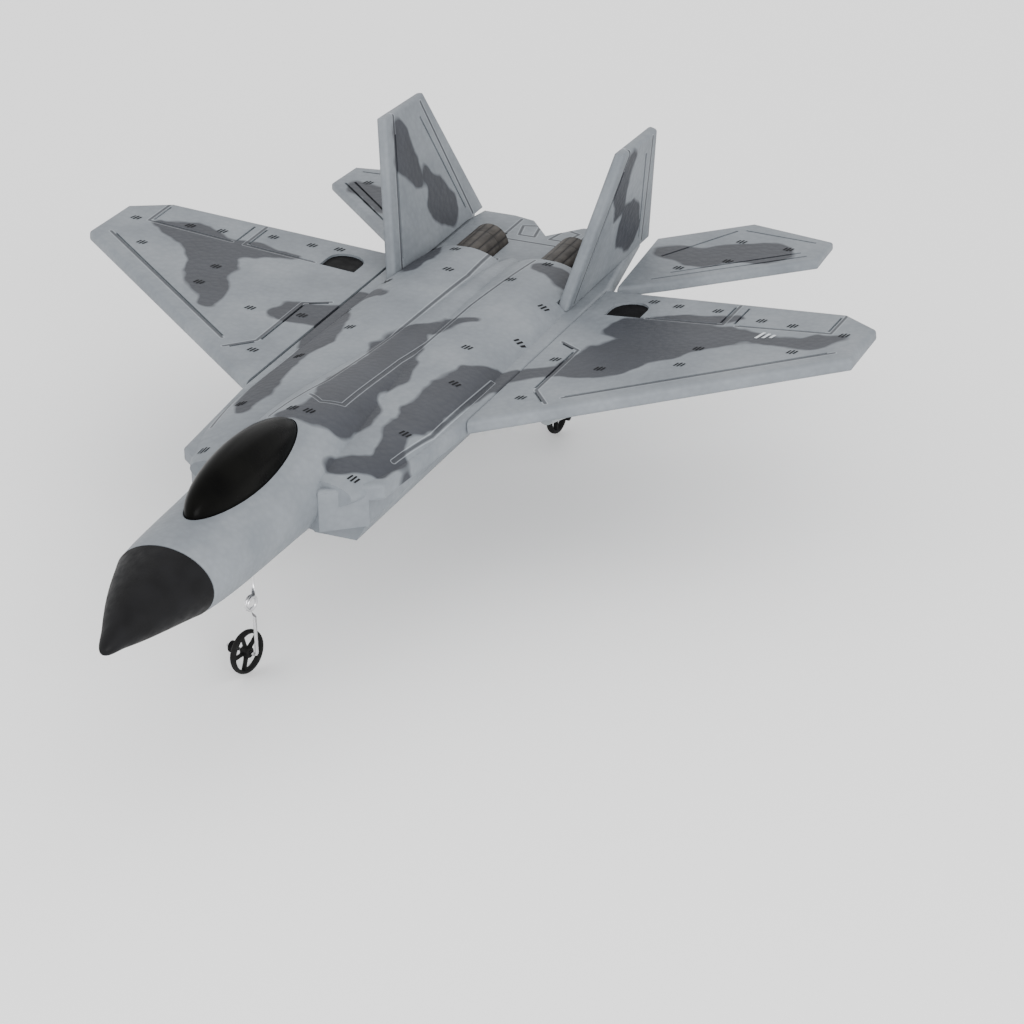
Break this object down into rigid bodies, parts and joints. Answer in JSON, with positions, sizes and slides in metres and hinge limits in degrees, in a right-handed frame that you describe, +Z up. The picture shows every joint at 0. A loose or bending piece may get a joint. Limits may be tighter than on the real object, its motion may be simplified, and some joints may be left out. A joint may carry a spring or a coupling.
{
  "type": "rc jet plane",
  "caption": "Twin-motor foam model jet with canted fins, black nose and canopy, pusher propellers behind the wing and wire tricycle landing gear.",
  "frame": {"origin": "on the ground plane under the wheels, below the middle of the bounding box", "axes": "+Z up, nose toward -Y, +X toward the port wing tip"},
  "size_m": [0.2908, 0.36, 0.114],
  "materials": {
    "foam": "fine bead texture foam, matt",
    "black_plastic": "satin",
    "canopy_black": "gloss",
    "grey_plastic": "satin",
    "steel": "drawn wire",
    "carbon": "satin",
    "battery_wrap": "gloss wrap",
    "pad": "soft foam",
    "board": "solder mask",
    "wheel_foam": "matt foam rubber"
  },
  "bodies": {
    "airframe": {"fuselage_upper": "foam", "fuselage_belly": "foam", "wing_left": "foam", "wing_right": "foam", "stabilizer_left": "foam", "stabilizer_right": "foam", "fin_left": "foam", "fin_right": "foam", "nose_cone": "black_plastic", "nose_gear_bush": "black_plastic", "main_gear_mount": "black_plastic", "switch_case": "black_plastic", "battery_plug": "black_plastic", "exhaust_nozzle_left": "black_plastic", "exhaust_nozzle_right": "black_plastic", "main_wheel_cap_left": "black_plastic", "main_wheel_cap_right": "black_plastic", "pod_cover_left": "black_plastic", "pod_cover_right": "black_plastic", "canopy": "canopy_black", "motor_pod_left": "grey_plastic", "motor_pod_right": "grey_plastic", "motor_left": "steel", "motor_right": "steel", "main_gear_leg_left": "steel", "main_gear_leg_right": "steel", "mount_screws": "steel", "wing_spar_left": "carbon", "wing_spar_right": "carbon", "battery_pack": "battery_wrap", "battery_foam_pad": "pad", "receiver_board": "board"},
    "propeller_left": {"propeller_left": "black_plastic", "motor_shaft_left": "steel"},
    "propeller_right": {"propeller_right": "black_plastic", "motor_shaft_right": "steel"},
    "nose_leg": {"nose_gear_leg": "steel", "nose_wheel_cap": "black_plastic", "nose_gear_collar": "black_plastic"},
    "nose_wheel": {"nose_wheel": "wheel_foam"},
    "main_wheel_left": {"main_wheel_left": "wheel_foam"},
    "main_wheel_right": {"main_wheel_right": "wheel_foam"},
    "battery_hatch": {"battery_hatch": "black_plastic"},
    "switch_slider": {"switch_slider": "black_plastic"}
  },
  "joints": [
    {"name": "propeller_spin_left", "type": "hinge", "parent": "airframe", "child": "propeller_left", "pos_m": [0.055, 0.103, 0.0525], "axis": [0, 1, 0], "continuous": true},
    {"name": "propeller_spin_right", "type": "hinge", "parent": "airframe", "child": "propeller_right", "pos_m": [-0.055, 0.103, 0.0525], "axis": [0, 1, 0], "continuous": true},
    {"name": "nose_steer", "type": "hinge", "parent": "airframe", "child": "nose_leg", "pos_m": [0.0026, -0.093, 0.04], "axis": [0, 0, 1], "range_deg": [-8.5, 31.5]},
    {"name": "nose_wheel_roll", "type": "hinge", "parent": "nose_leg", "child": "nose_wheel", "pos_m": [-0.00152, -0.09216, 0.0075], "axis": [0.9799, -0.1994, 0], "continuous": true},
    {"name": "main_wheel_roll_left", "type": "hinge", "parent": "airframe", "child": "main_wheel_left", "pos_m": [0.0172, 0.107, 0.0075], "axis": [1, 0, 0], "continuous": true},
    {"name": "main_wheel_roll_right", "type": "hinge", "parent": "airframe", "child": "main_wheel_right", "pos_m": [-0.0172, 0.107, 0.0075], "axis": [1, 0, 0], "continuous": true},
    {"name": "battery_hatch_hinge", "type": "hinge", "parent": "airframe", "child": "battery_hatch", "pos_m": [0, -0.05375, 0.04345], "axis": [-1, 0, 0], "range_deg": [0, 90]},
    {"name": "power_switch_slide", "type": "slide", "parent": "airframe", "child": "switch_slider", "axis": [0, 1, 0], "range_m": [0, 0.003]}
  ]
}
